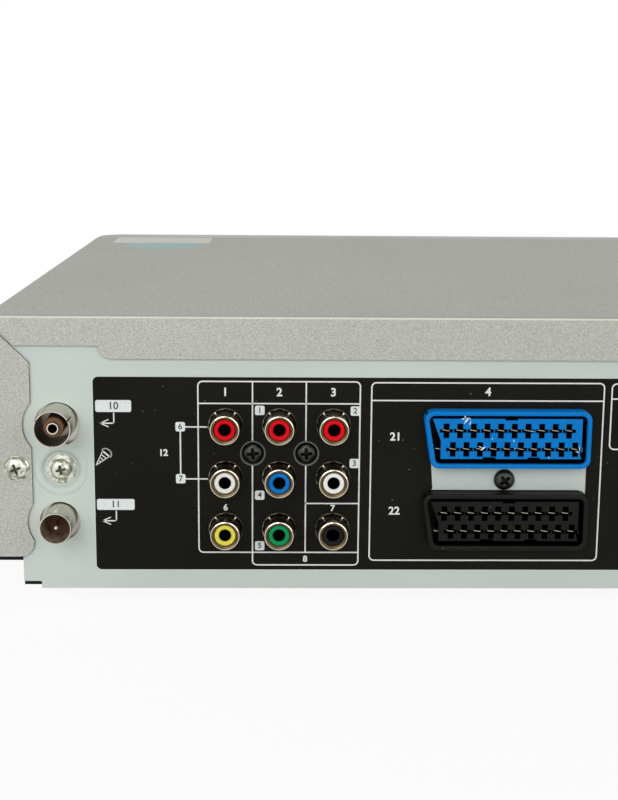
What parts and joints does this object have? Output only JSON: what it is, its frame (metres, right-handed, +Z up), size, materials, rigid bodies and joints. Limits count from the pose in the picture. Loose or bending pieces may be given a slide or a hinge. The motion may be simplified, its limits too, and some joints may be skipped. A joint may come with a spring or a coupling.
{
  "type": "disc player and cassette recorder",
  "caption": "Flat steel-cased disc player and cassette recorder with a sliding disc tray, a cassette flap and a rear panel of aerial, phono and SCART sockets.",
  "frame": {"origin": "on the floor, under the middle of everything that sticks out", "axes": "+X to the right for someone facing the front, -Y out of the front, +Z up"},
  "size_m": [0.4342, 0.276, 0.0835],
  "materials": {
    "grey_paint": "fine speckled satin paint",
    "panel_paint": "smooth satin paint, pale grey green",
    "black_plastic": "fine matt moulding",
    "rubber": "matt",
    "bezel_plastic": "satin painted plastic",
    "smoked_window": "polished, smoked",
    "zinc": "zinc plated",
    "black_steel": "black plated",
    "button_plastic": "satin",
    "board": "paper board with lacquer",
    "ferrite": "dark ferrite with yellow tape",
    "sleeve": "shrunk sleeve",
    "display_glass": "dark glass",
    "tinned_steel": "tinned",
    "nickel": "nickel plated",
    "brown_plastic": "brown phenolic",
    "red_plastic": "moulded colour",
    "white_plastic": "moulded colour",
    "yellow_plastic": "moulded colour",
    "blue_plastic": "moulded colour",
    "green_plastic": "moulded colour",
    "tray_plastic": "fine matt moulding",
    "gear_plastic": "natural acetal",
    "drum_aluminium": "turned and polished",
    "polished_steel": "ground",
    "soft_rubber": "ground rubber"
  },
  "bodies": {
    "case": {"top_cover": "grey_paint", "rear_panel": "panel_paint", "base_frame": "black_plastic", "feet": "rubber", "front_bezel": "bezel_plastic", "display_window": "smoked_window", "zinc_screws": "zinc", "black_screws": "black_steel", "main_board": "board", "power_board": "board", "transformer": "ferrite", "capacitors": "sleeve", "mains_inlet": "black_plastic", "front_board": "board", "display_module": "display_glass", "tuner_can": "tinned_steel", "aerial_shells": "nickel", "aerial_insulators": "brown_plastic", "aerial_contacts": "tinned_steel", "jack_shells": "nickel", "jack_block": "black_plastic", "jack_inserts_red": "red_plastic", "jack_inserts_white": "white_plastic", "jack_inserts_yellow": "yellow_plastic", "jack_inserts_blue": "blue_plastic", "jack_inserts_green": "green_plastic", "jack_inserts_black": "black_plastic", "scart_av2": "blue_plastic", "scart_av1": "black_plastic", "scart_contacts": "tinned_steel", "video_socket": "black_plastic", "loader_frame": "black_plastic", "clamp_bridge": "zinc", "deck_chassis": "zinc", "lower_drum": "drum_aluminium"},
    "tray": {"disc_tray": "tray_plastic", "tray_door": "bezel_plastic"},
    "pinion": {"tray_gear": "gear_plastic"},
    "traverse": {"traverse_base": "zinc", "spindle_motor": "zinc"},
    "turntable": {"turntable": "black_plastic"},
    "sled": {"laser_sled": "black_plastic"},
    "clamp": {"disc_clamp": "tray_plastic"},
    "flap": {"cassette_door": "bezel_plastic"},
    "slider": {"carriage_slider": "zinc"},
    "carriage": {"cassette_carriage": "zinc"},
    "drum": {"head_drum": "drum_aluminium"},
    "capstan": {"capstan": "polished_steel"},
    "pinch_arm": {"pinch_arm": "zinc"},
    "pinch_roller": {"pinch_roller": "soft_rubber"},
    "supply_reel": {"supply_reel": "gear_plastic"},
    "takeup_reel": {"takeup_reel": "gear_plastic"},
    "power_button": {"power_button": "button_plastic"},
    "open_button": {"open_button": "button_plastic"},
    "eject_button": {"eject_button": "button_plastic"},
    "source_button": {"source_button": "button_plastic"},
    "play_button": {"play_button": "button_plastic"},
    "stop_button": {"stop_button": "button_plastic"},
    "record_button": {"record_button": "button_plastic"},
    "channel_rocker": {"channel_rocker": "button_plastic"}
  },
  "joints": [
    {"name": "tray_slide", "type": "slide", "parent": "case", "child": "tray", "axis": [0, -1, 0], "range_m": [0, 0.14]},
    {"name": "tray_gear_spin", "type": "hinge", "parent": "case", "child": "pinion", "pos_m": [0.076, -0.1, 0.056], "axis": [0, 0, 1], "range_deg": [-895, 5]},
    {"name": "traverse_tilt", "type": "hinge", "parent": "case", "child": "traverse", "pos_m": [0.125, 0.048, 0.046], "axis": [1, 0, 0], "range_deg": [0, 5]},
    {"name": "turntable_spin", "type": "hinge", "parent": "traverse", "child": "turntable", "pos_m": [0.125, -0.06, 0.055], "axis": [0, 0, 1], "continuous": true},
    {"name": "sled_slide", "type": "slide", "parent": "traverse", "child": "sled", "axis": [0, 1, 0], "range_m": [0, 0.034]},
    {"name": "clamp_spin", "type": "hinge", "parent": "case", "child": "clamp", "pos_m": [0.125, -0.06, 0.069], "axis": [0, 0, 1], "continuous": true},
    {"name": "flap_hinge", "type": "hinge", "parent": "case", "child": "flap", "pos_m": [-0.096, -0.13575, 0.0793], "axis": [1, 0, 0], "range_deg": [0, 80], "stiffness_Nm_per_rad": 0.004},
    {"name": "carriage_in", "type": "slide", "parent": "case", "child": "slider", "axis": [0, 1, 0], "range_m": [0, 0.07]},
    {"name": "carriage_drop", "type": "slide", "parent": "slider", "child": "carriage", "axis": [0, 0, -1], "range_m": [0, 0.019]},
    {"name": "drum_spin", "type": "hinge", "parent": "case", "child": "drum", "pos_m": [-0.104, 0.058, 0.0232], "axis": [0, 0.104, 0.9946], "continuous": true},
    {"name": "capstan_spin", "type": "hinge", "parent": "case", "child": "capstan", "pos_m": [-0.048, 0.036, 0.025], "axis": [0, 0, 1], "continuous": true},
    {"name": "pinch_swing", "type": "hinge", "parent": "case", "child": "pinch_arm", "pos_m": [-0.024, 0.05, 0.035], "axis": [0, 0, 1], "range_deg": [0, 18.3], "stiffness_Nm_per_rad": 0.05},
    {"name": "pinch_roller_spin", "type": "hinge", "parent": "pinch_arm", "child": "pinch_roller", "pos_m": [-0.04883, 0.05295, 0.041], "axis": [0, 0, 1], "continuous": true},
    {"name": "supply_spin", "type": "hinge", "parent": "case", "child": "supply_reel", "pos_m": [-0.142, -0.032, 0.025], "axis": [0, 0, 1], "continuous": true},
    {"name": "takeup_spin", "type": "hinge", "parent": "case", "child": "takeup_reel", "pos_m": [-0.05, -0.032, 0.025], "axis": [0, 0, 1], "continuous": true},
    {"name": "power_press", "type": "slide", "parent": "case", "child": "power_button", "axis": [0, 1, 0], "range_m": [0, 0.001], "stiffness_N_per_m": 400},
    {"name": "open_press", "type": "slide", "parent": "case", "child": "open_button", "axis": [0, 1, 0], "range_m": [0, 0.001], "stiffness_N_per_m": 400},
    {"name": "eject_press", "type": "slide", "parent": "case", "child": "eject_button", "axis": [0, 1, 0], "range_m": [0, 0.001], "stiffness_N_per_m": 400},
    {"name": "source_press", "type": "slide", "parent": "case", "child": "source_button", "axis": [0, 1, 0], "range_m": [0, 0.001], "stiffness_N_per_m": 400},
    {"name": "play_press", "type": "slide", "parent": "case", "child": "play_button", "axis": [0, 1, 0], "range_m": [0, 0.001], "stiffness_N_per_m": 400},
    {"name": "stop_press", "type": "slide", "parent": "case", "child": "stop_button", "axis": [0, 1, 0], "range_m": [0, 0.001], "stiffness_N_per_m": 400},
    {"name": "record_press", "type": "slide", "parent": "case", "child": "record_button", "axis": [0, 1, 0], "range_m": [0, 0.001], "stiffness_N_per_m": 400},
    {"name": "channel_rock", "type": "hinge", "parent": "case", "child": "channel_rocker", "pos_m": [-0.098, -0.133, 0.03], "axis": [1, 0, 0], "range_deg": [-3, 3], "stiffness_Nm_per_rad": 0.05}
  ],
  "couplings": [
    {"joint": "tray_gear_spin", "follows": "tray_slide", "rad_per_m": -111.11}
  ]
}
